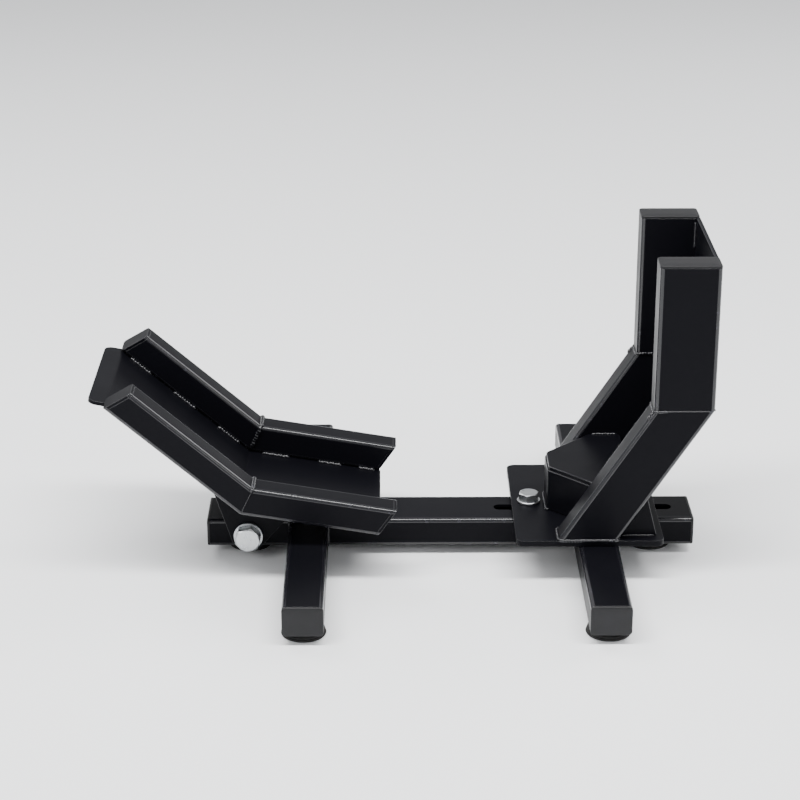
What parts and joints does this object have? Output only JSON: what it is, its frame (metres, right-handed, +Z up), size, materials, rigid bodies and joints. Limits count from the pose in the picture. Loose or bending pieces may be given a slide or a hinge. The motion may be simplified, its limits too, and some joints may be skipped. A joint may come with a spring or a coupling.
{
  "type": "motorcycle front wheel stand",
  "caption": "Rocker-type paddock stand that cradles a motorcycle's front wheel on a tilting ramp against a fixed upright, on a spine with side arms.",
  "frame": {"origin": "on the floor, midway between the entry lip's end and the back of the upright, in the stand's middle plane", "axes": "+X the way the motorcycle faces, from the entry lip to the upright; +Y to its left; +Z up"},
  "size_m": [0.6158, 0.4666, 0.335],
  "materials": {
    "powder_coated_steel": "black powder coat, semi-gloss, fine orange peel",
    "zinc_plated_steel": "bright zinc plate",
    "black_plastic": "moulded, satin",
    "black_rubber": "moulded, matt"
  },
  "bodies": {
    "base": {"spine_tube": "powder_coated_steel", "spine_cap_front": "black_plastic", "spine_cap_rear": "black_plastic", "pivot_sleeve": "zinc_plated_steel", "foot_spine_rear": "black_rubber", "foot_spine_front": "black_rubber", "rocker_buffer": "black_rubber", "arm_rear_left": "powder_coated_steel", "arm_cap_rear_left": "black_plastic", "foot_rear_left": "black_rubber", "arm_rear_right": "powder_coated_steel", "arm_cap_rear_right": "black_plastic", "foot_rear_right": "black_rubber", "arm_front_left": "powder_coated_steel", "arm_cap_front_left": "black_plastic", "foot_front_left": "black_rubber", "arm_front_right": "powder_coated_steel", "arm_cap_front_right": "black_plastic", "foot_front_right": "black_rubber"},
    "rocker": {"ramp_plate": "powder_coated_steel", "pivot_bolt": "zinc_plated_steel", "pivot_nut": "zinc_plated_steel", "rail_long_left": "powder_coated_steel", "rail_short_left": "powder_coated_steel", "rail_end_plate_long_left": "powder_coated_steel", "rail_end_plate_short_left": "powder_coated_steel", "pivot_lug_left": "powder_coated_steel", "pivot_washer_left": "zinc_plated_steel", "rail_long_right": "powder_coated_steel", "rail_short_right": "powder_coated_steel", "rail_end_plate_long_right": "powder_coated_steel", "rail_end_plate_short_right": "powder_coated_steel", "pivot_lug_right": "powder_coated_steel", "pivot_washer_right": "zinc_plated_steel"},
    "upright": {"stop_plate_upper": "powder_coated_steel", "stop_plate_lower": "powder_coated_steel", "yoke": "powder_coated_steel", "foot_plate": "powder_coated_steel", "nut_plate": "zinc_plated_steel", "clamp_bolt_rear": "zinc_plated_steel", "clamp_bolt_front": "zinc_plated_steel", "clamp_washer_rear": "zinc_plated_steel", "clamp_washer_front": "zinc_plated_steel", "upright_tube_left": "powder_coated_steel", "upright_cap_left": "black_plastic", "leaning_tube_left": "powder_coated_steel", "gusset_left": "powder_coated_steel", "upright_tube_right": "powder_coated_steel", "upright_cap_right": "black_plastic", "leaning_tube_right": "powder_coated_steel", "gusset_right": "powder_coated_steel"}
  },
  "joints": [
    {"name": "rocker_tilt", "type": "hinge", "parent": "base", "child": "rocker", "pos_m": [-0.15615, 0, 0.025], "axis": [0, -1, 0], "range_deg": [0, 52]},
    {"name": "upright_slide", "type": "slide", "parent": "base", "child": "upright", "axis": [1, 0, 0], "range_m": [-0.03, 0.03]}
  ]
}
